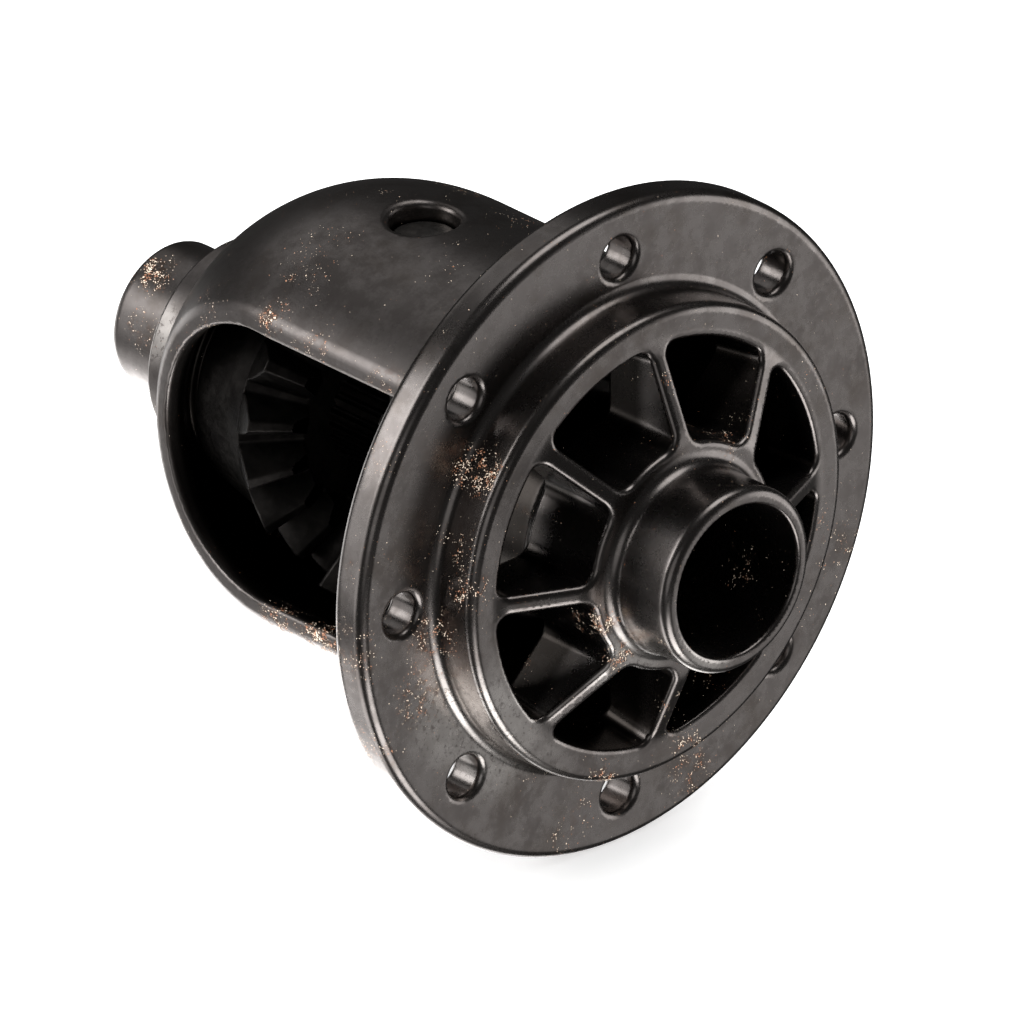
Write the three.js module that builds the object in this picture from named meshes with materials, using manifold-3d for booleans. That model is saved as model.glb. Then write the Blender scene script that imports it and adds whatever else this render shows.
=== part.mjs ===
// Open differential: a one-piece case with its bevel gear set inside.
// Millimetres, +Z up. The origin is where the axle axis (X) crosses the cross pin's axis (Z),
// which is the apex of all four bevel gears. +X points out of the flanged end of the case.
import * as THREE from 'three';
import { mergeVertices } from 'three/addons/utils/BufferGeometryUtils.js';
import Module from 'manifold-3d';

// ---------------------------------------------------------------- driving dimensions
const CLEARANCE = 0.3;            // gap between pieces that touch or run in each other
const CASE_SEGMENTS = 40;         // facets round each kind of piece
const SEGMENTS_PER_TOOTH = 3;
const WASHER_SEGMENTS = 32;
const PIN_SEGMENTS = 32;
const HOLE_SEGMENTS = 16;

// flange and the pilot ring that centres the ring gear
const FLANGE_RADIUS = 80;
const FLANGE_FRONT = 64.8;
const FLANGE_THICKNESS = 10;
const FLANGE_EDGE = 1.6;
const PILOT_RADIUS = 57.5;
const PILOT_HEIGHT = 12.5;
const PILOT_EDGE = 1.5;
const BOLT_COUNT = 8;
const BOLT_CIRCLE_RADIUS = 67.2;
const BOLT_HOLE_RADIUS = 5.25;

// front bearing journal, its hub and the ribbed end wall
const NOSE = 104.2;
const FRONT_JOURNAL_RADIUS = 22.5;
const FRONT_BORE_RADIUS = 18.8;
const JOURNAL_EDGE = 1.8;
const HUB_RADIUS = 30;
const HUB_FACE = 86.3;
const HUB_FILLET = 2.7;
const END_WALL_INNER = 63;
const RIB_COUNT = 8;
const RIB_THICKNESS = 4.6;
const POCKET_INNER_RADIUS = 28;
const POCKET_OUTER_RADIUS = 49.5;
const POCKET_BACK_RADIUS = 47.5;  // the pocket's outer side narrows to this at the back
const POCKET_CURVE_STEPS = 5;

// bell of the case
const BELL_RADIUS = 54.7;
const BELL_WALL = 6.2;
const BELL_CENTRE = -8;           // where the straight part of the bell turns into its round end
const BELL_POWER = 2.13;          // exponent of the round end's superellipse
const BELL_STEPS = 6;
const CAVITY_EDGE = 3;

// rear bearing journal and its collar
const REAR_END = -85.6;
const REAR_JOURNAL_RADIUS = 17.5;
const REAR_BORE_RADIUS = 13;
const REAR_COLLAR_RADIUS = 25.7;
const REAR_SHOULDER = -64.8;

// the window through one side of the bell
const WINDOW_HALF_HEIGHT = 33.5;
const WINDOW_ROUND_CENTRE = -12.8;
const WINDOW_FRONT = 46;
const WINDOW_CORNER = 10;
const WINDOW_CURVE_STEPS = 16;

// seats that the gears bear on
const PINION_SEAT = 44.5;         // distance of the flat seat from the axle axis
const PINION_SEAT_RADIUS = 17;
const SIDE_SEAT = 47;             // distance of the flat seat from the cross pin's axis
const SIDE_SEAT_RADIUS = 26.5;
const SIDE_HUB_RADIUS = 21;
const SIDE_HUB_PLAY = 0.4;
const SIDE_HUB_END = 54.2;
const SIDE_POCKET_BOTTOM = 55;
const WASHER_THICKNESS = 1.4;
const WASHER_MARGIN = 0.5;        // how far a washer stops short of its seat's rim

// cross pin and the pin that locks it
const CROSS_PIN_RADIUS = 7.8;
const CROSS_PIN_HALF_LENGTH = 50;
const CROSS_PIN_BEVEL = 0.8;
const LOCK_PIN_RADIUS = 1.5;
const LOCK_PIN_HALF_LENGTH = 20;
const LOCK_PIN_HEIGHT = -47.3;

// straight bevel gears, all with their apex at the origin
const SIDE_TEETH = 16;
const PINION_TEETH = 10;
const CONE_DISTANCE = 42;         // apex to the large end of the teeth
const FACE_WIDTH = 15;
const PRESSURE_ANGLE = THREE.MathUtils.degToRad(25);
const BACKLASH = 0.4;             // at the large end, along the pitch circle
const SIDE_ADDENDUM = 0.9;        // in modules
const PINION_ADDENDUM = 1.1;
const TIP_CLEARANCE = 0.2;
const FLANK_SHARES = [0, 0.35, 0.7, 1, 1.3];  // flank points from root (0) past the tip (1)
const GEAR_BACK_RADIUS = 29;
const GEAR_EDGE = 1;
const SPLINE_TEETH = 24;
const SPLINE_MAJOR_RADIUS = 12.9;
const SPLINE_MINOR_RADIUS = 11.7;
const SPLINE_MAJOR_SHARE = 0.44;  // share of each spline pitch at the major and minor radius
const SPLINE_MINOR_SHARE = 0.2;

// ---------------------------------------------------------------- derived dimensions
const FLANGE_BACK = FLANGE_FRONT - FLANGE_THICKNESS;
const PILOT_FACE = FLANGE_FRONT + PILOT_HEIGHT;
const CAVITY_RADIUS = BELL_RADIUS - BELL_WALL;
const SIDE_POCKET_RADIUS = SIDE_HUB_RADIUS + SIDE_HUB_PLAY;
const PIN_HOLE_RADIUS = CROSS_PIN_RADIUS + CLEARANCE;
const LOCK_HOLE_RADIUS = LOCK_PIN_RADIUS + CLEARANCE;
const MODULE = 2 * CONE_DISTANCE / Math.hypot(SIDE_TEETH, PINION_TEETH);
const TOE_DISTANCE = CONE_DISTANCE - FACE_WIDTH;
const SIDE_BACK = SIDE_SEAT - WASHER_THICKNESS - 2 * CLEARANCE;
const PINION_BACK = PINION_SEAT - WASHER_THICKNESS - 2 * CLEARANCE;

const wasm = await Module();
wasm.setup();

// ---------------------------------------------------------------- helpers
const rangeOf = (count) => [...Array(count).keys()];

// A closed three.js geometry as a manifold-3d solid.
function solidFrom(geometry) {
  const bare = geometry.clone();
  bare.deleteAttribute('normal');
  bare.deleteAttribute('uv');
  const merged = mergeVertices(bare, 1e-4);
  return new wasm.Manifold(new wasm.Mesh({
    numProp: 3,
    vertProperties: new Float32Array(merged.attributes.position.array),
    triVerts: new Uint32Array(merged.index.array),
  }));
}

// A manifold-3d solid as a three.js geometry.
function geometryFrom(solid) {
  const { vertProperties, triVerts } = solid.getMesh();
  const geometry = new THREE.BufferGeometry();
  geometry.setAttribute('position', new THREE.BufferAttribute(vertProperties, 3));
  geometry.setIndex(new THREE.BufferAttribute(triVerts, 1));
  geometry.computeVertexNormals();
  return geometry;
}

// Turns a list of [radius, height] about +Z. The list runs up the outside and down the inside.
function turned(profile, segments) {
  const points = profile.map(([radius, height]) => new THREE.Vector2(radius, height));
  points.push(points[0].clone());
  return new THREE.LatheGeometry(points, segments).rotateX(Math.PI / 2);
}

const alongX = (geometry) => geometry.rotateY(Math.PI / 2);

// A straight round bar or drill, centred on the origin.
function bar(radius, length, segments, axis) {
  const geometry = new THREE.CylinderGeometry(radius, radius, length, segments);
  if (axis === 'x') geometry.rotateZ(Math.PI / 2);
  if (axis === 'z') geometry.rotateX(Math.PI / 2);
  return geometry;
}

const steel = (color, roughness, metalness) => new THREE.MeshStandardMaterial({
  color,
  roughness,
  metalness,
});

// ---------------------------------------------------------------- case
// The round end of the bell: a quarter of a superellipse of the given radius, from the straight
// part back to a smaller radius, as [radius, height] points in order of rising height.
function bellEnd(radius, toRadius) {
  const lastAngle = Math.acos((toRadius / radius) ** (BELL_POWER / 2));
  return rangeOf(BELL_STEPS + 1).reverse().map((step) => {
    const angle = lastAngle * step / BELL_STEPS;
    return [
      radius * Math.cos(angle) ** (2 / BELL_POWER),
      BELL_CENTRE - radius * Math.sin(angle) ** (2 / BELL_POWER),
    ];
  });
}

function caseBlank() {
  const outside = [
    [REAR_JOURNAL_RADIUS - JOURNAL_EDGE, REAR_END],
    [REAR_JOURNAL_RADIUS, REAR_END + JOURNAL_EDGE],
    [REAR_JOURNAL_RADIUS, REAR_SHOULDER],
    [REAR_COLLAR_RADIUS, REAR_SHOULDER],
    ...bellEnd(BELL_RADIUS, REAR_COLLAR_RADIUS),
    [BELL_RADIUS, FLANGE_BACK],
    [FLANGE_RADIUS - FLANGE_EDGE, FLANGE_BACK],
    [FLANGE_RADIUS, FLANGE_BACK + FLANGE_EDGE],
    [FLANGE_RADIUS, FLANGE_FRONT - FLANGE_EDGE],
    [FLANGE_RADIUS - FLANGE_EDGE, FLANGE_FRONT],
    [PILOT_RADIUS, FLANGE_FRONT],
    [PILOT_RADIUS, PILOT_FACE - PILOT_EDGE],
    [PILOT_RADIUS - PILOT_EDGE, PILOT_FACE],
    [POCKET_OUTER_RADIUS, PILOT_FACE],
    [HUB_RADIUS, HUB_FACE],
    [FRONT_JOURNAL_RADIUS + HUB_FILLET, HUB_FACE],
    [FRONT_JOURNAL_RADIUS, HUB_FACE + HUB_FILLET],
    [FRONT_JOURNAL_RADIUS, NOSE - JOURNAL_EDGE],
    [FRONT_JOURNAL_RADIUS - JOURNAL_EDGE, NOSE],
  ];
  const inside = [
    [FRONT_BORE_RADIUS, NOSE],
    [FRONT_BORE_RADIUS, SIDE_POCKET_BOTTOM],
    [SIDE_POCKET_RADIUS, SIDE_POCKET_BOTTOM],
    [SIDE_POCKET_RADIUS, SIDE_SEAT],
    [SIDE_SEAT_RADIUS, SIDE_SEAT],
    [SIDE_SEAT_RADIUS, END_WALL_INNER],
    [CAVITY_RADIUS - CAVITY_EDGE, END_WALL_INNER],
    [CAVITY_RADIUS, END_WALL_INNER - CAVITY_EDGE],
    ...bellEnd(CAVITY_RADIUS, SIDE_SEAT_RADIUS).reverse(),
    [SIDE_SEAT_RADIUS, -SIDE_SEAT],
    [SIDE_POCKET_RADIUS, -SIDE_SEAT],
    [SIDE_POCKET_RADIUS, -SIDE_POCKET_BOTTOM],
    [REAR_BORE_RADIUS, -SIDE_POCKET_BOTTOM],
    [REAR_BORE_RADIUS, REAR_END],
  ];
  return solidFrom(alongX(turned([...outside, ...inside], CASE_SEGMENTS)));
}

// The window's outline in the XZ plane, cut straight through the -Y side of the bell.
function windowCut() {
  const outline = new THREE.Shape();
  outline.moveTo(WINDOW_FRONT - WINDOW_CORNER, WINDOW_HALF_HEIGHT);
  outline.absarc(WINDOW_ROUND_CENTRE, 0, WINDOW_HALF_HEIGHT, Math.PI / 2, 3 * Math.PI / 2, false);
  outline.absarc(WINDOW_FRONT - WINDOW_CORNER, WINDOW_CORNER - WINDOW_HALF_HEIGHT, WINDOW_CORNER,
    -Math.PI / 2, 0, false);
  outline.absarc(WINDOW_FRONT - WINDOW_CORNER, WINDOW_HALF_HEIGHT - WINDOW_CORNER, WINDOW_CORNER,
    0, Math.PI / 2, false);
  const depth = FLANGE_RADIUS;
  const options = { depth, bevelEnabled: false, curveSegments: WINDOW_CURVE_STEPS };
  return solidFrom(new THREE.ExtrudeGeometry(outline, options).rotateX(Math.PI / 2));
}

// One pocket between two ribs, about +Z. Its sides run parallel to the ribs beside it.
function pocketOutline() {
  const halfRib = RIB_THICKNESS / 2;
  const spacing = 2 * Math.PI / RIB_COUNT;
  const outerEdge = Math.asin(halfRib / POCKET_OUTER_RADIUS);
  const innerEdge = Math.asin(halfRib / POCKET_INNER_RADIUS);
  const outline = new THREE.Shape();
  outline.absarc(0, 0, POCKET_OUTER_RADIUS, outerEdge, spacing - outerEdge, false);
  outline.absarc(0, 0, POCKET_INNER_RADIUS, spacing - innerEdge, innerEdge, true);
  return outline;
}

// The pocket's cut, with its outer side drawn in towards the back.
function pocketCut() {
  const back = END_WALL_INNER - CAVITY_EDGE;
  const depth = HUB_FACE + HUB_FILLET - back;
  const options = { depth, bevelEnabled: false, curveSegments: POCKET_CURVE_STEPS };
  const geometry = new THREE.ExtrudeGeometry(pocketOutline(), options).translate(0, 0, back);
  const draft = (POCKET_OUTER_RADIUS - POCKET_BACK_RADIUS) / (PILOT_FACE - back);
  const position = geometry.attributes.position;
  for (const index of rangeOf(position.count)) {
    const [x, y, z] = [position.getX(index), position.getY(index), position.getZ(index)];
    const radius = Math.hypot(x, y);
    if (radius > (POCKET_INNER_RADIUS + POCKET_OUTER_RADIUS) / 2) {
      const scale = (POCKET_BACK_RADIUS + draft * (z - back)) / radius;
      position.setXY(index, x * scale, y * scale);
    }
  }
  return solidFrom(alongX(geometry));
}

function caseSolid() {
  let body = caseBlank();
  const midWall = BELL_RADIUS - BELL_WALL / 2;
  const seat = bar(PINION_SEAT_RADIUS, midWall - PINION_SEAT, PIN_SEGMENTS, 'z');
  const seatMiddle = (midWall + PINION_SEAT) / 2;
  for (const side of [1, -1]) {
    body = body.add(solidFrom(seat.clone().translate(0, 0, side * seatMiddle)));
  }
  body = body.subtract(windowCut());
  const pocket = pocketCut();
  for (const index of rangeOf(RIB_COUNT)) {
    body = body.subtract(pocket.rotate([index * 360 / RIB_COUNT, 0, 0]));
  }
  const boltHole = bar(BOLT_HOLE_RADIUS, 2 * FLANGE_THICKNESS, HOLE_SEGMENTS, 'x');
  const boltHoleSolid = solidFrom(boltHole.translate(FLANGE_FRONT, 0, BOLT_CIRCLE_RADIUS));
  for (const index of rangeOf(BOLT_COUNT)) {
    body = body.subtract(boltHoleSolid.rotate([index * 360 / BOLT_COUNT, 0, 0]));
  }
  body = body.subtract(solidFrom(bar(PIN_HOLE_RADIUS, 2 * FLANGE_RADIUS, PIN_SEGMENTS, 'z')));
  return body.subtract(lockPinHole());
}

// ---------------------------------------------------------------- cross pin and lock pin
// The hole for the lock pin, through the cross pin and the bell's wall on both sides of it.
function lockPinHole() {
  const hole = bar(LOCK_HOLE_RADIUS, FLANGE_RADIUS, HOLE_SEGMENTS, 'y');
  return solidFrom(hole.translate(0, 0, LOCK_PIN_HEIGHT));
}

function crossPinSolid() {
  const end = CROSS_PIN_HALF_LENGTH;
  const profile = [
    [0, -end],
    [CROSS_PIN_RADIUS - CROSS_PIN_BEVEL, -end],
    [CROSS_PIN_RADIUS, CROSS_PIN_BEVEL - end],
    [CROSS_PIN_RADIUS, end - CROSS_PIN_BEVEL],
    [CROSS_PIN_RADIUS - CROSS_PIN_BEVEL, end],
    [0, end],
  ];
  return solidFrom(turned(profile, PIN_SEGMENTS)).subtract(lockPinHole());
}

// ---------------------------------------------------------------- bevel gears
// How far a spherical involute has turned from its base cone when it reaches a polar angle.
function sphericalInvolute(baseAngle, polarAngle) {
  if (polarAngle <= baseAngle) return 0;
  const arc = Math.acos(Math.cos(polarAngle) / Math.cos(baseAngle));
  return arc / Math.sin(baseAngle) - Math.atan(Math.tan(arc) / Math.sin(baseAngle));
}

// Cone angles of one gear of a pair with crossed axes, seen from the shared apex.
function gearCone(teeth, matingTeeth, addendum, matingAddendum) {
  const pitch = Math.atan(teeth / matingTeeth);
  return {
    teeth,
    pitch,
    base: Math.asin(Math.sin(pitch) * Math.cos(PRESSURE_ANGLE)),
    tip: pitch + Math.atan(addendum * MODULE / CONE_DISTANCE),
    root: pitch - Math.atan((matingAddendum + TIP_CLEARANCE) * MODULE / CONE_DISTANCE),
  };
}

// The space between two teeth: a wedge from near the apex to past the large end, round +Z.
function toothSpace(cone) {
  const pitchRadius = CONE_DISTANCE * Math.sin(cone.pitch);
  const toothAtPitch = Math.PI / (2 * cone.teeth) - BACKLASH / (4 * pitchRadius);
  const halfSpace = (polar) => Math.PI / cone.teeth - toothAtPitch
    - sphericalInvolute(cone.base, cone.pitch) + sphericalInvolute(cone.base, polar);
  const polarSteps = FLANK_SHARES.map((share) => cone.root + share * (cone.tip - cone.root));
  const outline = new THREE.Shape([
    ...polarSteps.map((polar) => new THREE.Vector2(polar, -halfSpace(polar))),
    ...polarSteps.reverse().map((polar) => new THREE.Vector2(polar, halfSpace(polar))),
  ]);
  const geometry = new THREE.ExtrudeGeometry(outline, { depth: 1, bevelEnabled: false });
  const [nearDistance, farDistance] = [TOE_DISTANCE / 2, 2 * CONE_DISTANCE];
  const position = geometry.attributes.position;
  for (const index of rangeOf(position.count)) {
    const distance = position.getZ(index) > 0.5 ? farDistance : nearDistance;
    const point = new THREE.Vector3().setFromSphericalCoords(distance, position.getX(index), 0);
    const azimuth = position.getY(index);
    position.setXYZ(index, point.z * Math.cos(azimuth), point.z * Math.sin(azimuth), point.y);
  }
  return solidFrom(geometry);
}

// A turned blank with its tooth spaces cut, about +Z. firstTooth is the azimuth of one tooth.
function cutTeeth(blank, cone, firstTooth) {
  const space = toothSpace(cone);
  const spacing = 360 / cone.teeth;
  return rangeOf(cone.teeth).reduce((gear, index) => (
    gear.subtract(space.rotate([0, 0, firstTooth + (index + 0.5) * spacing]))
  ), blank);
}

// Points of a blank at a distance from the apex, in the cones' angles, as [radius, height].
const onCone = (distance, angle) => [distance * Math.sin(angle), distance * Math.cos(angle)];

// Where the plane-sided back cone through the pitch point meets another cone of the gear.
function onBackCone(distance, cone, angle) {
  return onCone(distance / Math.cos(angle - cone.pitch), angle);
}

function pinionSolid() {
  const cone = gearCone(PINION_TEETH, SIDE_TEETH, PINION_ADDENDUM, SIDE_ADDENDUM);
  const [toeRootRadius, toeRootHeight] = onBackCone(TOE_DISTANCE, cone, cone.root);
  const blank = turned([
    [toeRootRadius - GEAR_EDGE, toeRootHeight],
    onBackCone(TOE_DISTANCE, cone, cone.tip),
    onBackCone(CONE_DISTANCE, cone, cone.tip),
    onBackCone(CONE_DISTANCE, cone, cone.root),
    [PINION_SEAT_RADIUS - GEAR_EDGE, PINION_BACK],
    [PIN_HOLE_RADIUS, PINION_BACK],
    [PIN_HOLE_RADIUS, toeRootHeight],
  ], SEGMENTS_PER_TOOTH * cone.teeth);
  return cutTeeth(solidFrom(blank), cone, 0);
}

// A splined hole about +Z: straight-sided teeth that stand in from the major radius.
function splineCut(length) {
  const pitch = 2 * Math.PI / SPLINE_TEETH;
  const corners = [
    [-SPLINE_MAJOR_SHARE / 2, SPLINE_MAJOR_RADIUS],
    [SPLINE_MAJOR_SHARE / 2, SPLINE_MAJOR_RADIUS],
    [(1 - SPLINE_MINOR_SHARE) / 2, SPLINE_MINOR_RADIUS],
    [(1 + SPLINE_MINOR_SHARE) / 2, SPLINE_MINOR_RADIUS],
  ];
  const points = rangeOf(SPLINE_TEETH).flatMap((index) => corners.map(([share, radius]) => (
    new THREE.Vector2(radius, 0).rotateAround(new THREE.Vector2(), (index + share) * pitch)
  )));
  const options = { depth: length, bevelEnabled: false };
  return solidFrom(new THREE.ExtrudeGeometry(new THREE.Shape(points), options));
}

function sideGearSolid() {
  const cone = gearCone(SIDE_TEETH, PINION_TEETH, SIDE_ADDENDUM, PINION_ADDENDUM);
  const [toeRootRadius, toeRootHeight] = onBackCone(TOE_DISTANCE, cone, cone.root);
  const borePilot = SPLINE_MINOR_RADIUS - GEAR_EDGE;
  const blank = turned([
    [toeRootRadius - 2 * GEAR_EDGE, toeRootHeight],
    onBackCone(TOE_DISTANCE, cone, cone.tip),
    onBackCone(CONE_DISTANCE, cone, cone.tip),
    onBackCone(CONE_DISTANCE, cone, cone.root),
    [GEAR_BACK_RADIUS, SIDE_BACK],
    [SIDE_HUB_RADIUS, SIDE_BACK],
    [SIDE_HUB_RADIUS, SIDE_HUB_END - GEAR_EDGE],
    [SIDE_HUB_RADIUS - GEAR_EDGE, SIDE_HUB_END],
    [borePilot, SIDE_HUB_END],
    [borePilot, toeRootHeight],
  ], SEGMENTS_PER_TOOTH * cone.teeth);
  const gear = cutTeeth(solidFrom(blank), cone, 180 / SIDE_TEETH);
  return gear.subtract(splineCut(2 * SIDE_HUB_END));
}

// A flat thrust washer about +Z, its far face the clearance short of the seat.
function washer(innerRadius, outerRadius, seat) {
  const far = seat - CLEARANCE;
  const near = far - WASHER_THICKNESS;
  const section = [[outerRadius, near], [outerRadius, far], [innerRadius, far], [innerRadius, near]];
  return turned(section, WASHER_SEGMENTS);
}

// ---------------------------------------------------------------- the assembly
const castIron = steel(0x4a4644, 0.45, 0.8);
const pinSteel = steel(0x5c5a58, 0.3, 0.95);
const gearSteel = steel(0x35322f, 0.4, 0.9);
const washerSteel = steel(0x55504a, 0.45, 0.9);

const differential = new THREE.Group();

function place(name, geometry, material, parent = differential) {
  const mesh = new THREE.Mesh(geometry, material);
  mesh.name = name;
  parent.add(mesh);
  return mesh;
}

// Groups that turn a piece made about +Z onto each of the four gear axes.
function axisGroup(rotateY) {
  const group = new THREE.Group();
  group.rotation.y = rotateY;
  differential.add(group);
  return group;
}

place('differential_case', geometryFrom(caseSolid()), castIron);
place('cross_pin', geometryFrom(crossPinSolid()), pinSteel);
const lockPinBar = bar(LOCK_PIN_RADIUS, 2 * LOCK_PIN_HALF_LENGTH, HOLE_SEGMENTS, 'y');
place('lock_pin', lockPinBar, pinSteel).position.z = LOCK_PIN_HEIGHT;

const pinionGeometry = geometryFrom(pinionSolid());
const pinionWasher = washer(PIN_HOLE_RADIUS, PINION_SEAT_RADIUS - WASHER_MARGIN, PINION_SEAT);
for (const [side, rotateY] of [['upper', 0], ['lower', Math.PI]]) {
  const group = axisGroup(rotateY);
  place(`pinion_gear_${side}`, pinionGeometry, gearSteel, group);
  place(`pinion_thrust_washer_${side}`, pinionWasher, washerSteel, group);
}

const sideGearGeometry = geometryFrom(sideGearSolid());
const sideWasher = washer(SIDE_POCKET_RADIUS, SIDE_SEAT_RADIUS - WASHER_MARGIN, SIDE_SEAT);
for (const [side, rotateY] of [['front', Math.PI / 2], ['rear', -Math.PI / 2]]) {
  const group = axisGroup(rotateY);
  place(`side_gear_${side}`, sideGearGeometry, gearSteel, group);
  place(`side_thrust_washer_${side}`, sideWasher, washerSteel, group);
}

export default differential;
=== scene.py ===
import math

import bpy
import numpy as np
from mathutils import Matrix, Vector


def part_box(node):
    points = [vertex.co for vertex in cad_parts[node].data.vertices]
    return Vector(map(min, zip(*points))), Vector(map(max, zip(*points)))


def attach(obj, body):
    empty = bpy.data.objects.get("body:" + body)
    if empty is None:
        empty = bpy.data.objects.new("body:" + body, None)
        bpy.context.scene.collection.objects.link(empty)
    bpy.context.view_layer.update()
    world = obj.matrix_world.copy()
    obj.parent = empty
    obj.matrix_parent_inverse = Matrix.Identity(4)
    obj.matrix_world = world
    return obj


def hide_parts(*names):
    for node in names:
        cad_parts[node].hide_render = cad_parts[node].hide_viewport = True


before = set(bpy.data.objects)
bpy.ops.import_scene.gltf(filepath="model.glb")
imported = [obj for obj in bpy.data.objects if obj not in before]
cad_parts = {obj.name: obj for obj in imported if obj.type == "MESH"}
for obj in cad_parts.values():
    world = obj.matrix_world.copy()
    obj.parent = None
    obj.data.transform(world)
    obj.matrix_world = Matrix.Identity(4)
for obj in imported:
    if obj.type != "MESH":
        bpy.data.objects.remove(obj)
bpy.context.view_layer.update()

MM = 0.001
TINY = 1e-9                        # keeps a division from meeting zero
case_low, case_high = (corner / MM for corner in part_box("differential_case"))
pin_low, pin_high = (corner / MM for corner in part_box("cross_pin"))
lock_low, lock_high = (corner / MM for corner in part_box("lock_pin"))

# ---------------------------------------------------------------- sizes of the case, millimetres
SKIN = 0.02                        # how far the finest surface stays inside the CAD box
FLANGE_RADIUS = case_high.z - SKIN
FLANGE_FRONT = 64.8
FLANGE_BACK = 54.8
FLANGE_EDGE = 2.6
PILOT_RADIUS = 57.5
PILOT_FACE = 77.3
PILOT_EDGE = 2.3
PILOT_FILLET = 3.0
BOLT_COUNT = 8
BOLT_CIRCLE_RADIUS = 67.2
BOLT_HOLE_RADIUS = 5.0
BOLT_HOLE_EDGE = 1.7

NOSE = case_high.x - SKIN
FRONT_JOURNAL_RADIUS = 22.5
FRONT_BORE_RADIUS = 18.5
JOURNAL_EDGE = 2.3
BORE_EDGE = 0.9
HUB_RADIUS = 30.0
HUB_FACE = 86.3
HUB_EDGE = 1.0
HUB_FILLET = 3.2
END_WALL_INNER = 63.0
RIB_COUNT = 8
RIB_THICKNESS = 4.6
RIB_EDGE = 1.4
POCKET_INNER_RADIUS = 27.6
POCKET_OUTER_RADIUS = 49.6
POCKET_BACK_RADIUS = 47.8
POCKET_CORNER = 3.6
SLOPE_FOOT_RADIUS = 49.5

BELL_RADIUS = 54.7
CAVITY_RADIUS = 48.5
BELL_CENTRE = -8.0
BELL_POWER = 2.13
BELL_FILLET = 3.0
CAVITY_EDGE = 4.0

REAR_END = case_low.x + SKIN
REAR_JOURNAL_RADIUS = 17.5
REAR_BORE_RADIUS = 13.0
REAR_COLLAR_RADIUS = 25.7
REAR_COLLAR_EDGE = 1.2
REAR_SHOULDER = -64.8
REAR_FILLET = 1.6

WINDOW_HALF_HEIGHT = 33.5
WINDOW_ROUND_CENTRE = -12.8
WINDOW_FRONT = 46.0
WINDOW_CORNER = 10.0
WINDOW_CHAMFER_WIDTH = 4.4
WINDOW_CHAMFER_DEPTH = 2.8
WINDOW_EDGE = 0.8

PINION_SEAT = 44.5
PINION_SEAT_RADIUS = 17.0
SIDE_SEAT = 47.0
SIDE_SEAT_RADIUS = 26.5
SIDE_POCKET_RADIUS = 21.4
SIDE_POCKET_BOTTOM = 55.0
SEAT_EDGE = 0.8
SEAT_FOOT = 1.5                    # rounding where a seat stands out of the cavity's wall
SIDE_POCKET_EDGE = 0.3
BORE_OVERLAP = 1.0                 # how far a bore reaches into the pocket it opens into
BORE_RUN_OUT = 10.0                # how far a bore's cut goes on past the end of the casting
PIN_HOLE_RADIUS = 8.1
PIN_HOLE_EDGE = 1.9
LOCK_HOLE_RADIUS = 1.8
LOCK_HOLE_EDGE = 0.4
LOCK_HEIGHT = (lock_low.z + lock_high.z) / 2

# ---------------------------------------------------------------- distance fields
def fillet_join(first, second, radius):
    """Union of two fields, with a concave fillet where they meet."""
    overlap = np.hypot(np.maximum(radius - first, 0), np.maximum(radius - second, 0))
    return np.maximum(radius, np.minimum(first, second)) - overlap


def round_meet(first, second, radius):
    """Intersection of two fields, with a rounded edge where they meet."""
    overlap = np.hypot(np.maximum(radius + first, 0), np.maximum(radius + second, 0))
    return np.minimum(-radius, np.maximum(first, second)) + overlap


def round_cut(body, tool, radius):
    """body with tool taken away, and the new edges rounded."""
    return round_meet(body, -tool, radius)


def drum(along, across, low, high, radius, edge):
    """A round bar between two ends, with rounded rims."""
    return round_meet(across - radius, np.maximum(low - along, along - high), edge)


def folded(angle, count):
    """Angle from the middle of the nearest of count equal sectors."""
    sector = 2 * math.pi / count
    return (angle + sector / 2) % sector - sector / 2


def bell_field(x, across, radius):
    """A tube that closes behind BELL_CENTRE in a superellipse."""
    behind = np.maximum(BELL_CENTRE - x, 0) / radius
    return radius * ((behind ** BELL_POWER + (across / radius) ** BELL_POWER) ** (1 / BELL_POWER) - 1)


def window_field(x, y, z):
    """The window in the -Y side: straight sides, round behind, and small corners in front."""
    behind = np.hypot(x - WINDOW_ROUND_CENTRE, z) - WINDOW_HALF_HEIGHT
    beyond_x = x - (WINDOW_FRONT - WINDOW_CORNER)
    beyond_z = np.abs(z) - (WINDOW_HALF_HEIGHT - WINDOW_CORNER)
    corner = np.hypot(np.maximum(beyond_x, 0), np.maximum(beyond_z, 0))
    ahead = corner + np.minimum(np.maximum(beyond_x, beyond_z), 0) - WINDOW_CORNER
    return np.maximum(np.where(x < WINDOW_ROUND_CENTRE, behind, ahead), y)


def windowed_bell(x, y, z, across):
    bell = np.maximum(bell_field(x, across, BELL_RADIUS), x - FLANGE_FRONT + BELL_FILLET)
    beside = -window_field(x, y, z)
    chamfer = bell / WINDOW_CHAMFER_DEPTH + beside / WINDOW_CHAMFER_WIDTH + 1
    chamfer = chamfer / math.hypot(1 / WINDOW_CHAMFER_DEPTH, 1 / WINDOW_CHAMFER_WIDTH)
    return round_meet(round_meet(bell, chamfer, WINDOW_EDGE), beside, WINDOW_EDGE)


def end_wall(x, across):
    """Cone that rises from the pilot ring to the hub, under the front edges of the ribs."""
    rise, run = HUB_FACE - PILOT_FACE, SLOPE_FOOT_RADIUS - HUB_RADIUS
    slope = ((across - HUB_RADIUS) * rise + (x - HUB_FACE) * run) / math.hypot(rise, run)
    cone = round_meet(slope, x - HUB_FACE, HUB_EDGE)
    return np.maximum(cone, np.maximum(FLANGE_BACK + PILOT_EDGE - x, across - PILOT_RADIUS + 1))


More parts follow.
